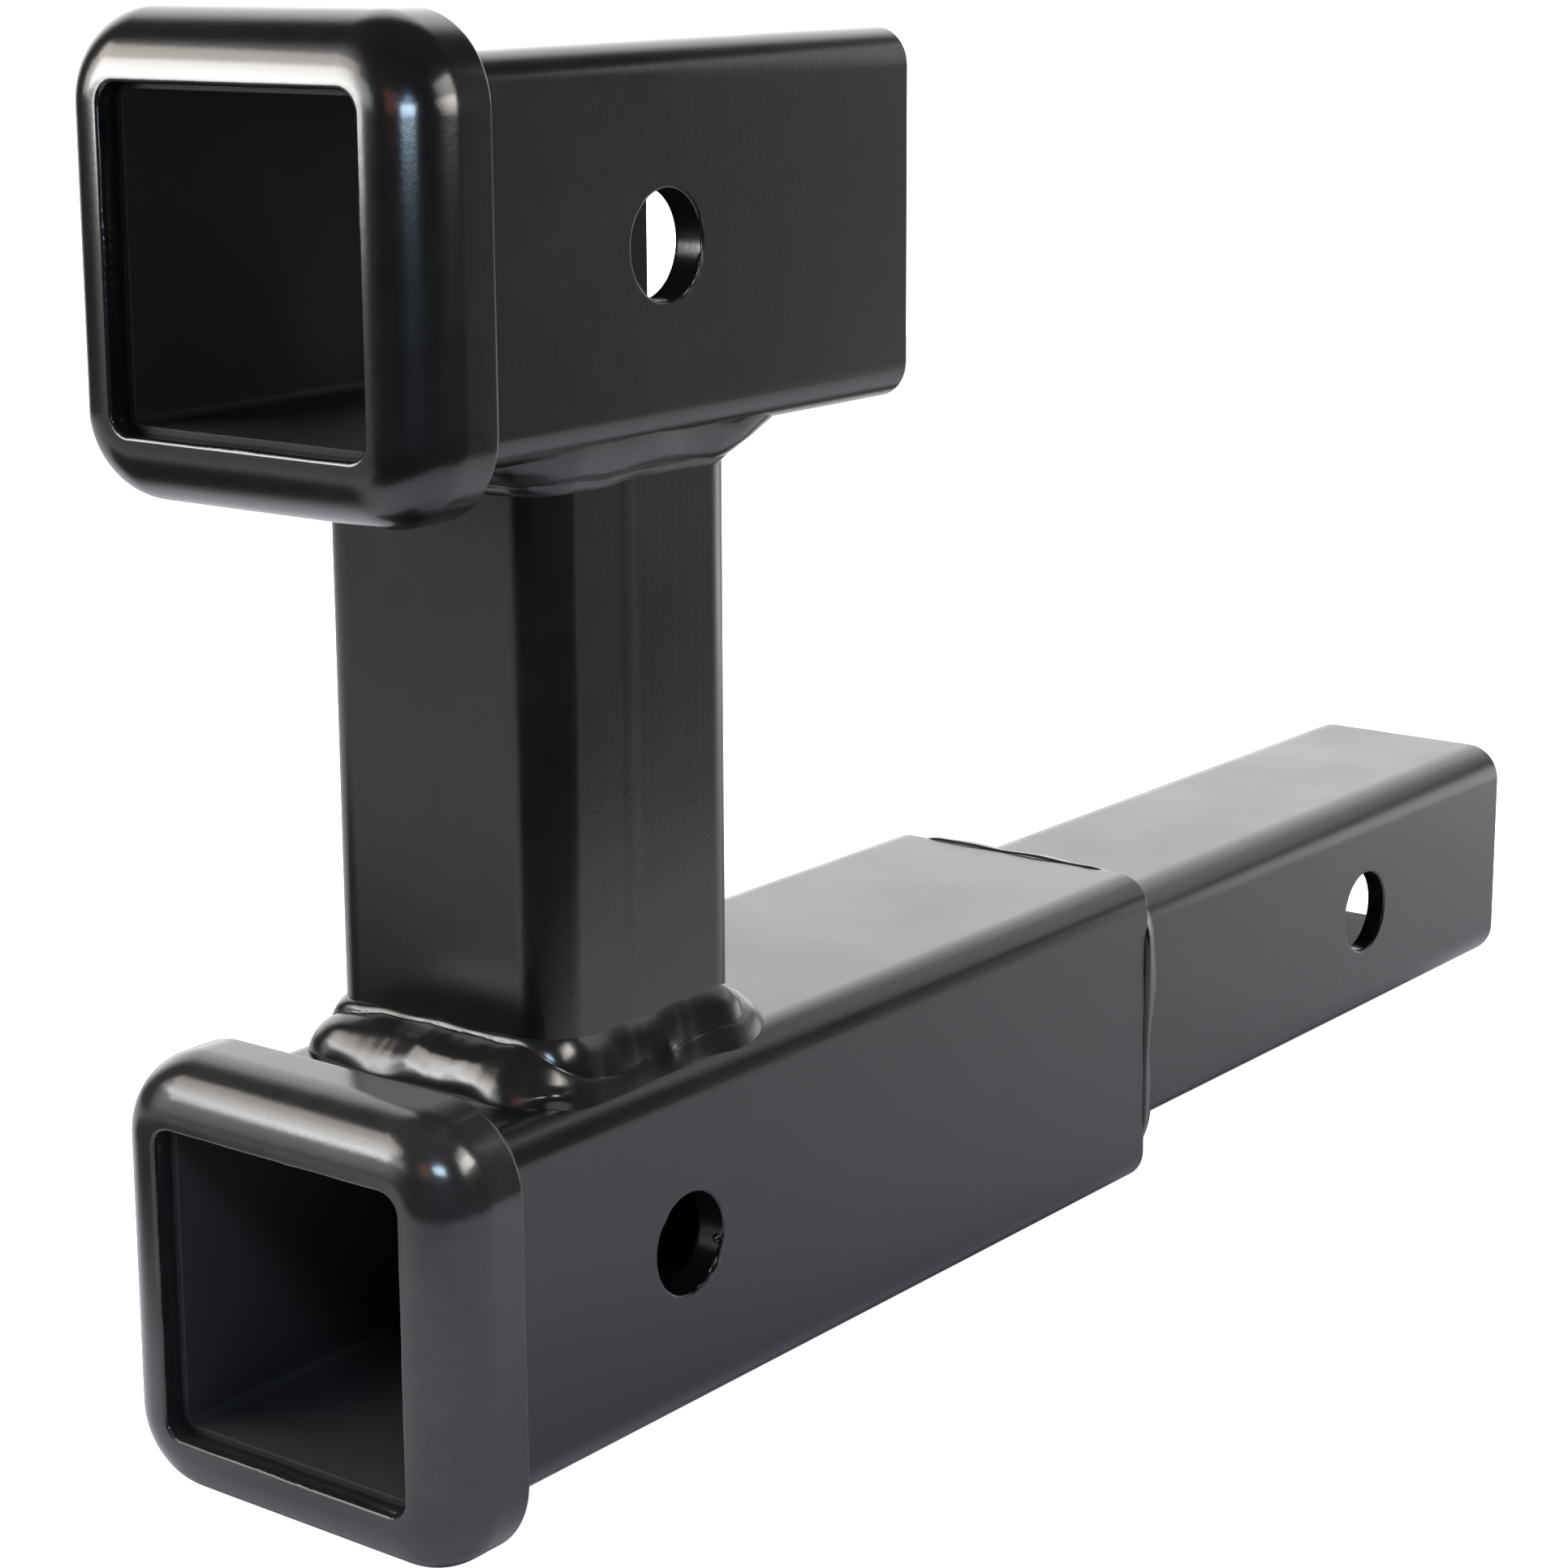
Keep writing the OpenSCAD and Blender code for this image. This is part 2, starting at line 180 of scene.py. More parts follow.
def paint_drip(centre, along, out, size):
    """A drop of dried paint at centre: the unit sphere, got by pushing a cube's six grids out to
    it, stretched to size = (length, width, height) over the directions along, across and out."""
    step = np.linspace(-1, 1, 11)
    a, b = (v.ravel() for v in np.meshgrid(step, step))
    one = np.ones_like(a)
    sides = ((a, b, one), (a, b, -one), (a, one, b), (a, -one, b), (one, a, b), (-one, a, b))
    ball = np.vstack([np.stack(side, axis=1) for side in sides])
    ball, merged = np.unique(np.round(ball, 6), axis=0, return_inverse=True)
    ball /= np.linalg.norm(ball, axis=1)[:, None]
    face = np.arange(6 * len(a)).reshape(6, len(step), len(step))
    corners = np.stack([face[:, :-1, :-1], face[:, 1:, :-1], face[:, 1:, 1:], face[:, :-1, 1:]],
                       axis=3)
    out = np.array(out) / np.linalg.norm(out)
    across = np.cross(out, along)
    across /= np.linalg.norm(across)
    axes = np.stack([np.cross(across, out), across, out])
    return np.array(centre) + ball * size @ axes, merged.ravel()[corners.reshape(-1, 4)]


def put_piece(name, points, quads, node, material):
    """Makes the object of one piece from points and quads, faces turned outwards, shaded smooth."""
    mesh = bpy.data.meshes.new(name)
    mesh.from_pydata(points.tolist(), [], quads.tolist())
    bm = bmesh.new()
    bm.from_mesh(mesh)
    bmesh.ops.recalc_face_normals(bm, faces=bm.faces)
    bm.to_mesh(mesh)
    bm.free()
    mesh.polygons.foreach_set("use_smooth", np.ones(len(mesh.polygons), bool))
    mesh.materials.append(material)
    piece = bpy.data.objects.new(name, mesh)
    bpy.context.scene.collection.objects.link(piece)
    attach(piece, "root")
    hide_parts(node)


def black_paint(name, base, rough, rough_spread=0.03, peel=0.00002, drawn=0.000012,
                draw_axis="X", wave=0.00008, bore_painted_light=None, seam=None):
    """Black powder coat on steel. Fine orange peel, long faint drawing lines of the tube under it,
    slow waves in the sheet, and a gloss that changes a little from place to place. The bore's tuple
    (z, half, x, base) gives a tube's bore along X at that height and its sawn end before x; there
    the coat is dull, and base, lighter than the coat, is painted light that brightens them. seam is
    the x of a weld seam, a low ridge up the near side."""
    cloud_scale, tint_scale, peel_scale, wave_scale = 38.0, 210.0, 1150.0, 26.0
    dull_rough, dull_shine, shine = 0.6, 0.2, 0.5
    seam_half, seam_high = 0.003, 0.000025
    mat = bpy.data.materials.new(name)
    mat.use_nodes = True
    nodes, links = mat.node_tree.nodes, mat.node_tree.links
    shader = nodes["Principled BSDF"]
    coord = nodes.new("ShaderNodeTexCoord")
    shader.inputs["IOR"].default_value = 1.5


    def noise(scale, detail, stretch=None):
        tex = nodes.new("ShaderNodeTexNoise")
        tex.inputs["Scale"].default_value = scale
        tex.inputs["Detail"].default_value = detail
        if stretch is None:
            links.new(coord.outputs["Object"], tex.inputs["Vector"])
        else:
            mapping = nodes.new("ShaderNodeMapping")
            mapping.inputs["Scale"].default_value = stretch
            links.new(coord.outputs["Object"], mapping.inputs["Vector"])
            links.new(mapping.outputs["Vector"], tex.inputs["Vector"])
        return tex.outputs["Fac"]

    def spread(fac, low, high):
        ramp = nodes.new("ShaderNodeMapRange")
        ramp.inputs["From Min"].default_value = 0.3
        ramp.inputs["From Max"].default_value = 0.7
        ramp.inputs["To Min"].default_value = low
        ramp.inputs["To Max"].default_value = high
        links.new(fac, ramp.inputs["Value"])
        return ramp.outputs["Result"]

    def bump(height, distance, strength, under=None):
        node = nodes.new("ShaderNodeBump")
        node.inputs["Distance"].default_value = distance
        node.inputs["Strength"].default_value = strength
        links.new(height, node.inputs["Height"])
        if under is not None:
            links.new(under, node.inputs["Normal"])
        return node.outputs["Normal"]

    def math(operation, *terms):
        node = nodes.new("ShaderNodeMath")
        node.operation = operation
        for socket, term in zip(node.inputs, terms):
            if isinstance(term, float):
                socket.default_value = term
            else:
                links.new(term, socket)
        return node.outputs["Value"]

    def blend(kind, factor, low, high):
        node = nodes.new("ShaderNodeMix")
        node.data_type = kind
        for socket, term in zip(("Factor", "A", "B"), (factor, low, high)):
            if isinstance(term, (float, tuple)):
                node.inputs[socket].default_value = term
            else:
                links.new(term, node.inputs[socket])
        return node.outputs["Result"]

    gloss = spread(noise(cloud_scale, 3.0), rough - rough_spread, rough + rough_spread)
    dark, light = (tuple(v * gain for v in base) + (1.0,) for gain in (0.8, 1.25))
    colour = blend("RGBA", spread(noise(tint_scale, 4.0), 0.0, 1.0), dark, light)
    if bore_painted_light or seam:
        place = nodes.new("ShaderNodeSeparateXYZ")
        links.new(coord.outputs["Object"], place.inputs["Vector"])
    if bore_painted_light:
        far = math("MAXIMUM", math("ABSOLUTE", place.outputs["Y"]),
                   math("ABSOLUTE", math("SUBTRACT", place.outputs["Z"], bore_painted_light[0])))
        within = math("MAXIMUM", math("LESS_THAN", far, bore_painted_light[1]),
                      math("LESS_THAN", place.outputs["X"], bore_painted_light[2]))
        gloss = blend("FLOAT", within, gloss, dull_rough)
        # In the bore and on the sawn end the base colour is raised: painted light that brightens
        # them.
        colour = blend("RGBA", within, colour, bore_painted_light[3] + (1.0,))
        links.new(blend("FLOAT", within, shine, dull_shine), shader.inputs["Specular IOR Level"])
    links.new(gloss, shader.inputs["Roughness"])
    links.new(colour, shader.inputs["Base Color"])
    normal = bump(noise(peel_scale, 2.0), peel, 0.6)
    if drawn:
        lines = {"X": (14, 900, 900), "Z": (900, 900, 14)}[draw_axis]
        normal = bump(noise(1.0, 3.0, lines), drawn, 0.5, normal)
    if seam:
        off = math("ABSOLUTE", math("SUBTRACT", place.outputs["X"], seam))
        ridge = nodes.new("ShaderNodeMapRange")
        ridge.interpolation_type = "SMOOTHSTEP"
        ridge.inputs["From Max"].default_value = seam_half
        ridge.inputs["To Min"].default_value = 1.0
        ridge.inputs["To Max"].default_value = 0.0
        links.new(off, ridge.inputs["Value"])
        near = math("LESS_THAN", place.outputs["Y"], 0.0)
        normal = bump(math("MULTIPLY", ridge.outputs["Result"], near), seam_high, 1.0, normal)
    normal = bump(noise(wave_scale, 1.0), wave, 0.7, normal)
    links.new(normal, shader.inputs["Normal"])
    return mat


COAT = (0.004, 0.004, 0.0043)
BORE_SLACK = 0.0001
SAWN_END = LIP + 0.0006
SAWN_EDGE = 0.0002
DRIPS = ((-0.22, 0.0012, (0.0009, 0.0009, 0.0006)), (-0.74, 0.0004, (0.0021, 0.0008, 0.0005)),
         (-1.30, 0.0002, (0.0007, 0.0006, 0.0005)))
DRIP_LEAN = (-0.44, -0.72, 0.53)
points, quads = pin_tube(LOWER_MOUTH_X + LIP, LOWER_REAR_X, RECEIVER_HALF, RECEIVER_R,
                         RECEIVER_IN_HALF, RECEIVER_IN_R, pins=(LOWER_PIN_X,), burr=0.0009,
                         edge=SAWN_EDGE)
for angle, depth, size in DRIPS:
    rim_point = (LOWER_PIN_X + PIN_R * np.cos(angle), depth - RECEIVER_HALF, PIN_R * np.sin(angle))
    drop, faces = paint_drip(rim_point, (-np.sin(angle), 0, np.cos(angle)), DRIP_LEAN, size)
    quads = np.vstack([quads, faces + len(points)])
    points = np.vstack([points, drop])
# Its bore gets a base colour far lighter than the coat: painted light that brightens the inside of
# the tube.
put_piece("lower_receiver", points, quads, "lower_receiver_tube",
          black_paint("lower_tube_paint", COAT, 0.25,
                      bore_painted_light=(0.0, RECEIVER_IN_HALF + BORE_SLACK, LOWER_MOUTH_X + SAWN_END,
                              (0.03, 0.03, 0.032))))

# Upper receiver tube. A shorter length of the same square tube, drilled for its own pin, that sits
# on top of the post and faces the same way as the lower one.
RISE = 0.170
UPPER_MOUTH_X = -0.3221
UPPER_REAR_X = -0.1894
UPPER_PIN_X = -0.2558
points, quads = pin_tube(UPPER_MOUTH_X + LIP, UPPER_REAR_X, RECEIVER_HALF, RECEIVER_R,
                         RECEIVER_IN_HALF, RECEIVER_IN_R, pins=(UPPER_PIN_X,), burr=0.0004,
                         edge=SAWN_EDGE)
# Its bore gets a base colour twice the coat's: painted light that brightens the inside of the tube.
put_piece("upper_receiver", points + [0, 0, RISE], quads, "upper_receiver_tube",
          black_paint("upper_tube_paint", COAT, 0.22,
                      bore_painted_light=(RISE, RECEIVER_IN_HALF + BORE_SLACK, UPPER_MOUTH_X + SAWN_END,
                              (0.008, 0.008, 0.008))))

# Shank. Square steel tube that slides into the vehicle's receiver, with softly rounded corners and
# a drilled pin hole. Its near end stands inside the lower receiver and is welded in at the rim.
SHANK_HALF = 0.0254
SHANK_R = 0.0075
SHANK_IN_HALF = 0.0211
SHANK_IN_R = 0.0032
SHANK_X0 = -0.1647
SHANK_X1 = 0.0646
SHANK_PIN_X = 0.0
points, quads = pin_tube(SHANK_X0, SHANK_X1, SHANK_HALF, SHANK_R, SHANK_IN_HALF, SHANK_IN_R,
                         pins=(SHANK_PIN_X,))
# Its bore gets a base colour six times the coat's: painted light that brightens the inside of the
# tube.
put_piece("shank", points, quads, "shank_tube",
          black_paint("shank_paint", (0.005, 0.005, 0.0053), 0.28,
                      bore_painted_light=(0.0, SHANK_IN_HALF + BORE_SLACK, SHANK_X0, (0.03, 0.03, 0.03))))

# Riser post. A short upright of the shank's own square tube, welded between the two receivers.
# Its drawing lines run up it, and its weld seam shows as a faint line on the near side.
POST_X = -0.2543
SEAM_X = -0.2585
points, quads = pin_tube(RECEIVER_HALF, RISE - RECEIVER_HALF, SHANK_HALF, SHANK_R, SHANK_IN_HALF,
                         SHANK_IN_R, edge=0.0003)
points = np.stack([POST_X - points[:, 2], points[:, 1], points[:, 0]], axis=1)
put_piece("riser_post", points, quads, "riser_post",
          black_paint("tube_paint_z", COAT, 0.22, drawn=0.00002, draw_axis="Z", seam=SEAM_X))

# Mouth collars. Pressed or forged steel rings pushed over the receivers' front ends and welded at
# the back, each with a wide roll outside, a small one at the mouth and a lip over the tube's end.
COLLAR_HALF = 0.0388
COLLAR_R = 0.015
COLLAR_DEEP = 0.0176
NOSE = 0.0106
MOUTH_HALF = 0.0273
MOUTH_EDGE = 0.0007
BACK_EDGE = 0.0007


def sway(t, seed, lows, power=0.9):
    """Slow uneven wave round a closed bead, about -1 to 1: sines of whole numbers of periods from
    lows, each with a phase from the seed, and an amplitude that falls as the number rises."""
    rng = np.random.default_rng(seed)
    total, norm = np.zeros_like(t), 0.0
    for n in lows:
        amp = 1.0 / n ** (power * 0.5)
        total += amp * np.sin(2 * np.pi * (n * t + rng.random()))
        norm += amp * 0.7
    return total / norm


def collar_mesh(mouth_x, z, seed, nib):
    """The wall's section carried round a rounded square. Each section point is an offset from the
    corner axis: half width = axis + u, corner radius = u, at depth v from the mouth. The nose is
    the arc u = U + R sin a, v = R - R cos a, and the mouth's edge the same with its own radius.
    The lip wavers by a tenth of a millimetre, and a nib of paint stands on it at the height nib."""
    axis = COLLAR_HALF - COLLAR_R
    crest = MOUTH_HALF + MOUTH_EDGE
    hold, lead, fit = 0.0003, 0.0002, 0.00015
    nib_half, nib_high, near_y = 0.0007, 0.0006, -0.02
    a = np.linspace(0, np.pi / 2, 33)
    b = np.linspace(0, np.pi / 2, 7)
    e = np.linspace(0, np.pi / 2, 13)
    nose_c = COLLAR_HALF - NOSE
    v = [NOSE - NOSE * np.cos(a), [COLLAR_DEEP - BACK_EDGE - hold],
         COLLAR_DEEP - BACK_EDGE + BACK_EDGE * np.sin(b), [COLLAR_DEEP]]
    h = [nose_c + NOSE * np.sin(a), [COLLAR_HALF],
         COLLAR_HALF - BACK_EDGE + BACK_EDGE * np.cos(b), [COLLAR_HALF - BACK_EDGE - hold]]
    u = [np.concatenate(h) - axis]
    fit_half, fit_r = RECEIVER_HALF + fit, RECEIVER_R + fit
    v += [[COLLAR_DEEP, COLLAR_DEEP - lead, LIP, LIP, LIP - hold, MOUTH_EDGE + hold],
          MOUTH_EDGE - MOUTH_EDGE * np.sin(e)]
    h += [[fit_half + lead, fit_half, fit_half, MOUTH_HALF + hold, MOUTH_HALF, MOUTH_HALF],
          crest - MOUTH_EDGE * np.cos(e)]
    u += [[fit_r + lead, fit_r, fit_r, MOUTH_HALF + hold - axis, MOUTH_HALF - axis,
           MOUTH_HALF - axis], crest - MOUTH_EDGE * np.cos(e) - axis]
    v, h, u = (np.concatenate([np.asarray(s, float) for s in parts]) for parts in (v, h, u))
    grid = square_loops(mouth_x + v, h, u, side_stations(22, 4, 0.008, 40, 0.0004))
    lip = np.concatenate([np.zeros(len(v) - len(e) - 3), np.ones(3), np.cos(e)])[:, None]
    t = np.linspace(0, 1, grid.shape[1], endpoint=False)
    waver = 0.00009 * sway(t, seed, (3, 8, 14, 23, 37)) + 0.00005 * sway(t, seed + 1, (61, 83, 107))
    near = (grid[0, :, 1] < near_y) * np.exp(-((grid[0, :, 2] - nib) / nib_half) ** 2)
    grid[:, :, 1:] *= (1 + lip * (waver - nib_high * near) / MOUTH_HALF)[:, :, None]
    grid[:, :, 2] += z
    index = np.arange(grid.shape[0] * grid.shape[1]).reshape(grid.shape[:2])
    return grid.reshape(-1, 3), ring_quads(np.vstack([index, index[:1]]))


NO_NIB = 0.1
# The last number in each row is the collar paint's base colour. The lower collar's is three times
# the upper's: painted light that makes the same paint lighter on the lower collar.
for name, mouth_x, z, seed, nib, painted_light_base in (("lower", LOWER_MOUTH_X, 0.0, 5, NO_NIB, 0.015),
                                          ("upper", UPPER_MOUTH_X, RISE, 8, 0.0085, 0.005)):
    points, quads = collar_mesh(mouth_x, z, seed, nib)
    put_piece(name + "_mouth_collar", points, quads, name + "_collar",
              black_paint(name + "_collar_paint", (painted_light_base, painted_light_base, painted_light_base * 1.05), 0.19, 0.02, drawn=0.0,
                          wave=0.00022))

# Weld beads. Steel laid by hand round each joint, in one heavy run or, round the post, in two. Each
# bead swells and dips and shows the ripples that it froze in, under the same glossy black paint.


def outline(half, r, count):
    """Even stations round a rounded square: points, outward normals and distances walked. The
    distance along the outline picks a side or a corner, and a corner's angle is walked over r."""
    flat = half - r
    quarter = 2 * flat + r * np.pi / 2
    s = np.linspace(0, 4 * quarter, count, endpoint=False)
    k = np.minimum((s // quarter).astype(int), 3)
    d = s - k * quarter
    ang = np.clip((d - 2 * flat) / r, 0, np.pi / 2)
    side = d < 2 * flat
    px = np.where(side, half, flat + r * np.cos(ang))
    py = np.where(side, d - flat, flat + r * np.sin(ang))
    turn = k * np.pi / 2
    x = px * np.cos(turn) - py * np.sin(turn)
    y = px * np.sin(turn) + py * np.cos(turn)
    nx, ny = np.cos(ang + turn), np.sin(ang + turn)
    return x, y, nx, ny, s, 4 * quarter


def bead(half, r, up, out_x, out_y, crown, lump, seed, count, across, rear_up=None, rear_out=None,
         rear_flat=0.0, split=None, flat_side=1.0, on_tube=False, fine=0.00004, drops=()):
    """A bead round a rounded square, rising along +Z from Z = 0. Across the face u runs from the
    wall to the toe: (out u, up (1 - u)) plus a bulge along (1, 1), with out_x and out_y the reach
    over the ends and the sides. One run bulges by crown sin(pi u) ** 0.7. Two runs meet in a crease
    at u = split, given as (front and rear, sides), and each bulges by 1.7 crown w sin(pi x) ** 0.7,
    w being its share of the face and x the place across it. flat_side lowers the crown on the two
    sides, rear_up, rear_out and rear_flat give the bead's height, reach and flatness behind, lump
    and fine the size of its slow swells and of its ripples. drops are (t, u, length, width, height)
    swellings. On a tube the toe follows the receiver's rounded corner."""
    two_runs, sink, back, under, step = 1.7, 0.00035, 0.0006, 0.0003, 0.0002
    rear_up, rear_out = rear_up or up, rear_out or out_x
    x, y, nx, ny, s, length = outline(half, r, count)
    t = s / length
    behind = np.maximum(nx, 0) ** 2
    reach = out_y + (out_x - out_y) * nx ** 2 + (rear_out - out_x) * behind
    reach = reach + lump * 0.6 * sway(t, seed, (3, 5, 8, 13))
    rise = up + (rear_up - up) * behind + lump * 0.8 * sway(t, seed + 1, (3, 6, 10, 15))
    fat = crown * (1 + 0.22 * sway(t, seed + 2, (4, 7, 11)))
    fat = fat * (flat_side + (1 - flat_side) * nx ** 2) * (1 - rear_flat * behind)
    u = np.linspace(0, 1, across)[:, None]
    if split:
        cut = split[1] + (split[0] - split[1]) * nx ** 2
        cut = cut + 0.05 * sway(t, seed + 3, (3, 6, 11, 17))
        low = u >= cut
        place = np.where(low, (u - cut) / (1 - cut), u / cut)
        share = two_runs * np.where(low, 1 - cut, cut)
        swell = np.where(low, 1 + 0.25 * sway(t, seed + 6, (5, 8, 13)),
                         1 + 0.25 * sway(t, seed + 7, (4, 9, 12)))
    else:
        place, share, swell = u + 0 * t, 1.0, 1.0
    roll = np.sin(np.pi * np.clip(place, 0, 1)) ** 0.7
    streaks = np.sin(2 * np.pi * (3.1 * u + 0.5 * sway(t, seed + 5, (2, 5, 9))))
    grain = sway(t + 0.012 * u, seed + 4, (21, 34, 47, 62)) + 0.8 * streaks
    bulge = roll * share * swell * fat + fine * grain * np.sin(np.pi * u) * (0.35 + 0.65 * nx ** 2)
    for at, across_at, long_, wide, high in drops:
        near = (t - at + 0.5) % 1 - 0.5
        bulge = bulge + high * np.exp(-(near / long_) ** 2 - ((u - across_at) / wide) ** 2)
    o = reach * u + 0.7 * bulge - sink * (1 - u)
    v = rise * (1 - u) + 0.7 * bulge - sink * u
    if on_tube:
        past = np.clip(np.abs(y + o * ny) - (RECEIVER_HALF - RECEIVER_R), 0, RECEIVER_R * 0.98)
        v = v - (RECEIVER_R - np.sqrt(RECEIVER_R ** 2 - past ** 2)) * u ** 1.5
    foot = v[-1] - under
    rows = [np.stack([x + o * nx, y + o * ny, v], axis=2)]
    for off, height in ((o[-1] - back, foot), (-back, foot), (-back, rise - step)):
        rows.append(np.stack([x + off * nx, y + off * ny, height], axis=1)[None])
    grid = np.concatenate(rows)
    index = np.arange(grid.shape[0] * grid.shape[1]).reshape(grid.shape[:2])
    return grid.reshape(-1, 3), ring_quads(np.vstack([index, index[:1]]))


def along_x(points):
    """Turns a bead that rises along +Z so that it rises along +X."""
    return np.stack([points[:, 2], points[:, 1], -points[:, 0]], axis=1)


weld_paint = black_paint("weld_paint", (0.008, 0.008, 0.0085), 0.21, 0.05, peel=0.000015, drawn=0.0)
points, quads = bead(SHANK_HALF, SHANK_R, up=0.009, rear_up=0.0066, out_x=0.0086, out_y=0.0044,
                     crown=0.0012, split=(0.14, 0.68), lump=0.0006, seed=11, on_tube=True,
                     count=1000, across=48, flat_side=0.37,
                     drops=((0.719, 0.86, 0.010, 0.10, 0.0011), (0.85, 0.72, 0.010, 0.12, 0.0005)))
put_piece("post_foot_bead", points + [POST_X, 0, RECEIVER_HALF], quads, "post_lower_weld",
          weld_paint)
points, quads = bead(SHANK_HALF, SHANK_R, up=0.0066, rear_up=0.0052, out_x=0.0086, out_y=0.0044,
                     crown=0.0006, split=(0.30, 0.26), lump=0.0005, seed=31, on_tube=True,
                     count=1000, across=48, fine=0.00006, flat_side=0.6, rear_out=0.0125,
                     rear_flat=0.8)
put_piece("post_head_bead", points * [1, 1, -1] + [POST_X, 0, RISE - RECEIVER_HALF], quads,
          "post_upper_weld", weld_paint)
points, quads = bead(SHANK_HALF, SHANK_R, up=0.0098, out_x=0.0070, out_y=0.0070, crown=0.0019,
                     lump=0.0004, seed=51, count=900, across=30)
put_piece("shank_bead", along_x(points) + [LOWER_REAR_X, 0, 0], quads, "shank_weld",
          weld_paint)
for name, mouth_x, z, seed in (("lower", LOWER_MOUTH_X, 0.0, 71),
                               ("upper", UPPER_MOUTH_X, RISE, 91)):
    points, quads = bead(RECEIVER_HALF, RECEIVER_R, up=0.005, out_x=0.0046, out_y=0.0046,
                         crown=0.0009, lump=0.00035, seed=seed, count=900, across=24)
    put_piece(name + "_collar_bead", along_x(points) + [mouth_x + COLLAR_DEEP, 0, z], quads,
              name + "_collar_weld", weld_paint)

# Table, backdrop and lamps. The object stands near the front edge of a small white table in a dark
# room. A window lights it from the left and a soft box from above, small blue, red and cream lamps
# shine in the collars, and two boards on the viewer's right brighten the near sides.
FLOOR_Z = -0.0388
TABLE_EDGE_Y = -0.30


def white_sheet():
    """White paper that the camera sees as background white, with the object's shadow kept. A dark
    oval on it, behind the mouths, is painted shade and is seen only in reflections."""
    oval_at, oval_turn, oval_size = (-0.43, 0.29, FLOOR_Z), 1.80, (0.235, 0.135, 1)
    oval_core, oval_rim = 0.55, 1.1
    mat = bpy.data.materials.new("white_sheet")
    mat.use_nodes = True
    nodes, links = mat.node_tree.nodes, mat.node_tree.links
    shader = nodes["Principled BSDF"]
    coord = nodes.new("ShaderNodeTexCoord")
    mapping = nodes.new("ShaderNodeMapping")
    mapping.vector_type = "TEXTURE"
    mapping.inputs["Location"].default_value = oval_at
    mapping.inputs["Rotation"].default_value = (0, 0, oval_turn)
    mapping.inputs["Scale"].default_value = oval_size
    far = nodes.new("ShaderNodeVectorMath")
    far.operation = "LENGTH"
    blend = nodes.new("ShaderNodeMapRange")
    blend.interpolation_type = "SMOOTHSTEP"
    blend.inputs["From Min"].default_value = oval_core
    blend.inputs["From Max"].default_value = oval_rim

    # Colour A is the painted shade of the dark oval; colour B is the white paper.
    painted_shade_mix = nodes.new("ShaderNodeMix")
    painted_shade_mix.data_type = "RGBA"
    painted_shade_mix.inputs["A"].default_value = (0.04, 0.04, 0.04, 1)
    painted_shade_mix.inputs["B"].default_value = (0.78, 0.79, 0.84, 1)
    links.new(coord.outputs["Object"], mapping.inputs["Vector"])
    links.new(mapping.outputs["Vector"], far.inputs[0])
    links.new(far.outputs["Value"], blend.inputs["Value"])
    links.new(blend.outputs["Result"], painted_shade_mix.inputs["Factor"])
    links.new(painted_shade_mix.outputs["Result"], shader.inputs["Base Color"])
    shader.inputs["Roughness"].default_value = 0.9
    shader.inputs["Specular IOR Level"].default_value = 0.0
    path = nodes.new("ShaderNodeLightPath")
    glow = nodes.new("ShaderNodeEmission")
    glow.inputs["Color"].default_value = (1, 1, 1, 1)
    links.new(path.outputs["Is Camera Ray"], glow.inputs["Strength"])
    add = nodes.new("ShaderNodeAddShader")
    out = nodes["Material Output"]
    links.new(shader.outputs["BSDF"], add.inputs[0])
    links.new(glow.outputs["Emission"], add.inputs[1])
    links.new(add.outputs["Shader"], out.inputs["Surface"])
    return mat


sheet = bpy.data.meshes.new("floor")
outline_xy = ((-0.30, TABLE_EDGE_Y), (0.30, TABLE_EDGE_Y), (0.48, -0.60), (1.1, -0.60), (1.1, 1.1),
              (-1.4, 1.1), (-1.4, 0.70), (-0.70, 0.15), (-0.53, 0.09), (-0.50, 0.0), (-0.48, -0.10),
              (-0.44, -0.19), (-0.38, -0.26))

sheet.from_pydata([(x, y, FLOOR_Z) for x, y in outline_xy], [], [tuple(range(len(outline_xy)))])
sheet.materials.append(white_sheet())
floor = bpy.data.objects.new("floor", sheet)
bpy.context.scene.collection.objects.link(floor)

world = bpy.data.worlds.new("studio")
bpy.context.scene.world = world
world.use_nodes = True
nodes, links = world.node_tree.nodes, world.node_tree.links
sky = nodes["Background"]
path = nodes.new("ShaderNodeLightPath")
coord = nodes.new("ShaderNodeTexCoord")
total = path.outputs["Is Camera Ray"]
LOBES = (((0.72, 0.62, 0.30), 0.72, 0.90, 2.1), ((-0.66, 0.68, 0.31), 0.86, 0.995, 2.0),
         ((0.95, -0.30, -0.08), 0.88, 0.985, 0.8), ((0.0, 0.0, 1.0), -1.5, 0.8, 0.05))
for way, edge, core, strength in LOBES:

    aim = nodes.new("ShaderNodeVectorMath")
    aim.operation = "DOT_PRODUCT"
    aim.inputs[1].default_value = way
    links.new(coord.outputs["Generated"], aim.inputs[0])
    lobe = nodes.new("ShaderNodeMapRange")
    lobe.interpolation_type = "SMOOTHSTEP"
    lobe.inputs["From Min"].default_value = edge
    lobe.inputs["From Max"].default_value = core
    lobe.inputs["To Max"].default_value = strength
    links.new(aim.outputs["Value"], lobe.inputs["Value"])
    both = nodes.new("ShaderNodeMath")
    links.new(total, both.inputs[0])
    links.new(lobe.outputs["Result"], both.inputs[1])
    total = both.outputs["Value"]
links.new(total, sky.inputs["Strength"])
sky.inputs["Color"].default_value = (1, 1, 1, 1)


def placed(right, up, back, place):
    """The matrix of a lamp or camera at place, its local axes along right, up and back."""
    matrix = np.eye(4)
    matrix[:3] = np.stack([right, up, back, place], axis=1)
    return Matrix(matrix.tolist())


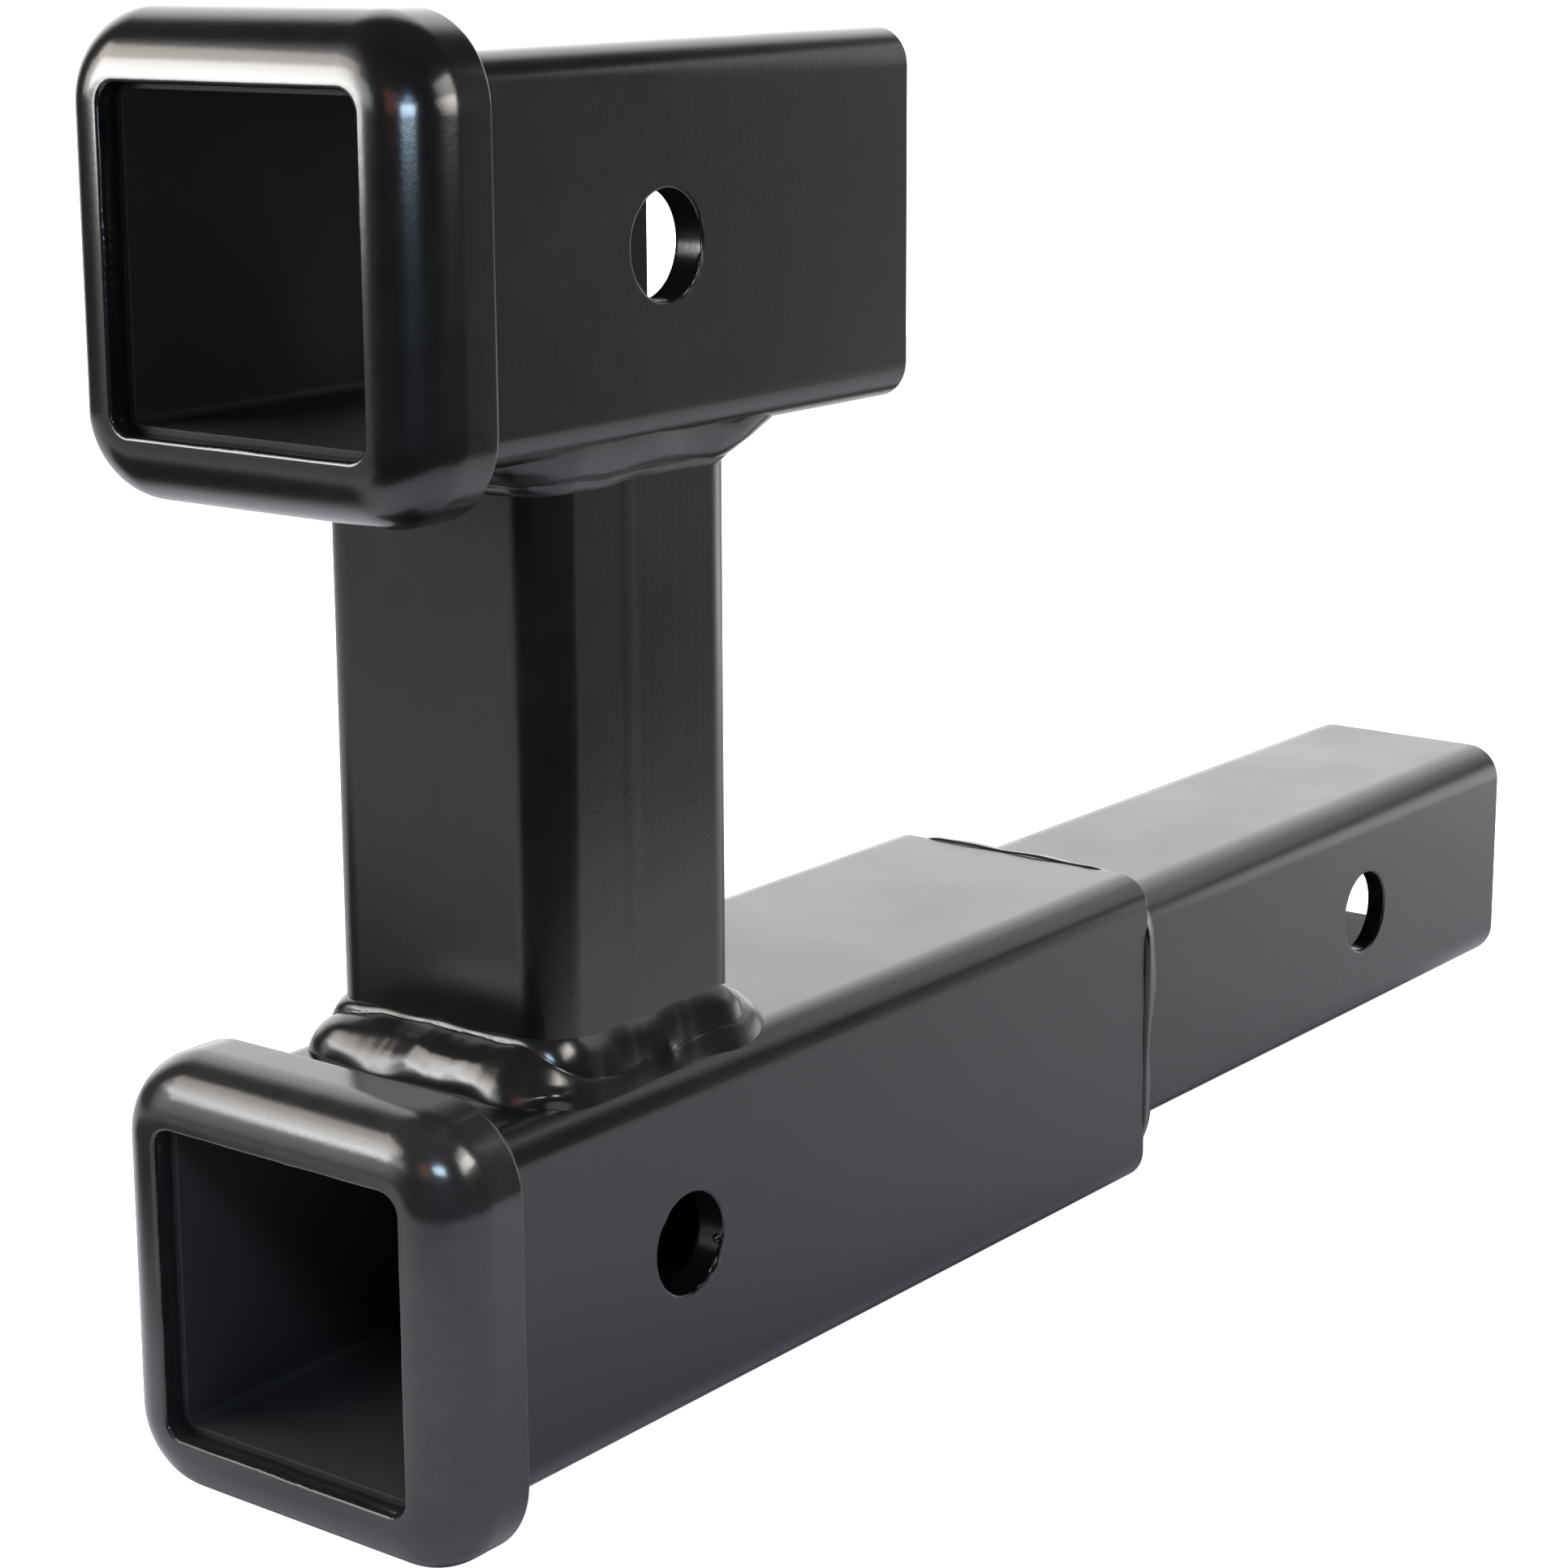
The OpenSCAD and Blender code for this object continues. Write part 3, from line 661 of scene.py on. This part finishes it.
def soft_lamp(name, place, target, size, radiance, colour=(1, 1, 1), spread=180):
    """A rectangular soft box at place, facing target, with its size in metres and the spread of its
    beam in degrees. Its power is pi * area * radiance, less the gain of a narrow beam straight
    ahead, tan h / (tan h - h) with h half of the spread."""
    data = bpy.data.lights.new(name, "AREA")
    data.shape = "RECTANGLE"
    data.size, data.size_y = size
    data.energy = np.pi * size[0] * size[1] * radiance
    if spread < 180:
        half = np.radians(spread / 2)
        data.spread = 2 * half
        data.energy *= (np.tan(half) - half) / np.tan(half)
    data.color = colour
    lamp = bpy.data.objects.new(name, data)
    way = np.array(target, float) - np.array(place, float)
    back = -way / np.linalg.norm(way)
    right = np.cross((0, 0, 1), back)
    right /= np.linalg.norm(right)
    lamp.matrix_world = placed(right, np.cross(back, right), back, place)
    lamp.visible_camera = False
    bpy.context.scene.collection.objects.link(lamp)
    return lamp


WINDOW = (1, 0.98, 0.95)
CREAM = (1.03, 1, 0.95)
MOUTHS = (-0.32, -0.035, 0.12)
NEAR_SIDE = (-0.36, -0.036, 0.10)
SHANK_SIDE = (-0.15, 0, 0.05)
overhead = soft_lamp("overhead", (-0.20, 0.10, 1.25), (-0.2, 0, 0.05), (0.9, 0.9), 6.3)
overhead.visible_glossy = False
soft_lamp("left_panel", (-0.590, 0.285, 0.262), (-0.32, 0, 0.262), (0.24, 0.13), 13, WINDOW, 90)
soft_lamp("left_wide", (-0.605, 0.272, 0.262), (-0.32, 0, 0.262), (0.50, 0.125), 8, WINDOW, 90)
soft_lamp("left_sill", (-0.610, 0.262, 0.182), (-0.32, 0, 0.182), (0.13, 0.05), 17, WINDOW, 90)
soft_lamp("left_wall", (-0.585, 0.293, 0.380), (-0.32, 0, 0.20), (0.36, 0.11), 5.5,
          (1.05, 0.95, 0.86))
soft_lamp("blue_lamp", (-0.469, -0.172, 0.205), MOUTHS, (0.085, 0.040), 25, (0.70, 0.94, 1.15))
soft_lamp("blue_glow", (-0.468, -0.180, 0.237), MOUTHS, (0.040, 0.055), 5, (0.6, 0.8, 1.3))
soft_lamp("red_glow", (-0.60, -0.115, 0.24), MOUTHS, (0.10, 0.10), 1.4, (1.2, 0.4, 0.3))
soft_lamp("cream_lamp", (-0.253, -0.234, 0.215), NEAR_SIDE, (0.15, 0.06), 26, CREAM, 70)
soft_lamp("cream_glow", (-0.245, -0.230, 0.280), NEAR_SIDE, (0.15, 0.07), 10, CREAM, 75)
soft_lamp("side_board", (0.39, -0.18, 0.37), SHANK_SIDE, (0.48, 0.36), 1.3, (1, 1, 0.97))
soft_lamp("side_low", (0.33, -0.16, 0.025), (-0.15, 0, 0.02), (0.26, 0.11), 1.9, (1, 1, 0.96))

# Camera. A long lens a little above the upper receiver, solved from the photograph's edges.
EYE = (-0.70579, -0.39423, 0.22416)
YAW, PITCH, ROLL = 0.6794923, -0.2245817, 0.0113025
FOCAL_PX, CENTRE_PX, FRAME_PX, SENSOR_MM = 4444.017, (821.376, 888.202), 1932, 36
ahead = np.array([np.cos(PITCH) * np.cos(YAW), np.cos(PITCH) * np.sin(YAW), np.sin(PITCH)])
level = np.cross(ahead, (0, 0, 1))
level /= np.linalg.norm(level)
plumb = np.cross(ahead, level)
right = np.cos(ROLL) * level + np.sin(ROLL) * plumb
down = np.cos(ROLL) * plumb - np.sin(ROLL) * level
data = bpy.data.cameras.new("camera")
data.sensor_width = SENSOR_MM
data.lens = FOCAL_PX / FRAME_PX * SENSOR_MM
data.shift_x = (FRAME_PX / 2 - CENTRE_PX[0]) / FRAME_PX
data.shift_y = (CENTRE_PX[1] - FRAME_PX / 2) / FRAME_PX
data.clip_start = 0.05
camera = bpy.data.objects.new("camera", data)
camera.matrix_world = placed(right, -down, -ahead, EYE)

bpy.context.scene.collection.objects.link(camera)
bpy.context.scene.camera = camera
bpy.context.scene.view_settings.view_transform = "Standard"
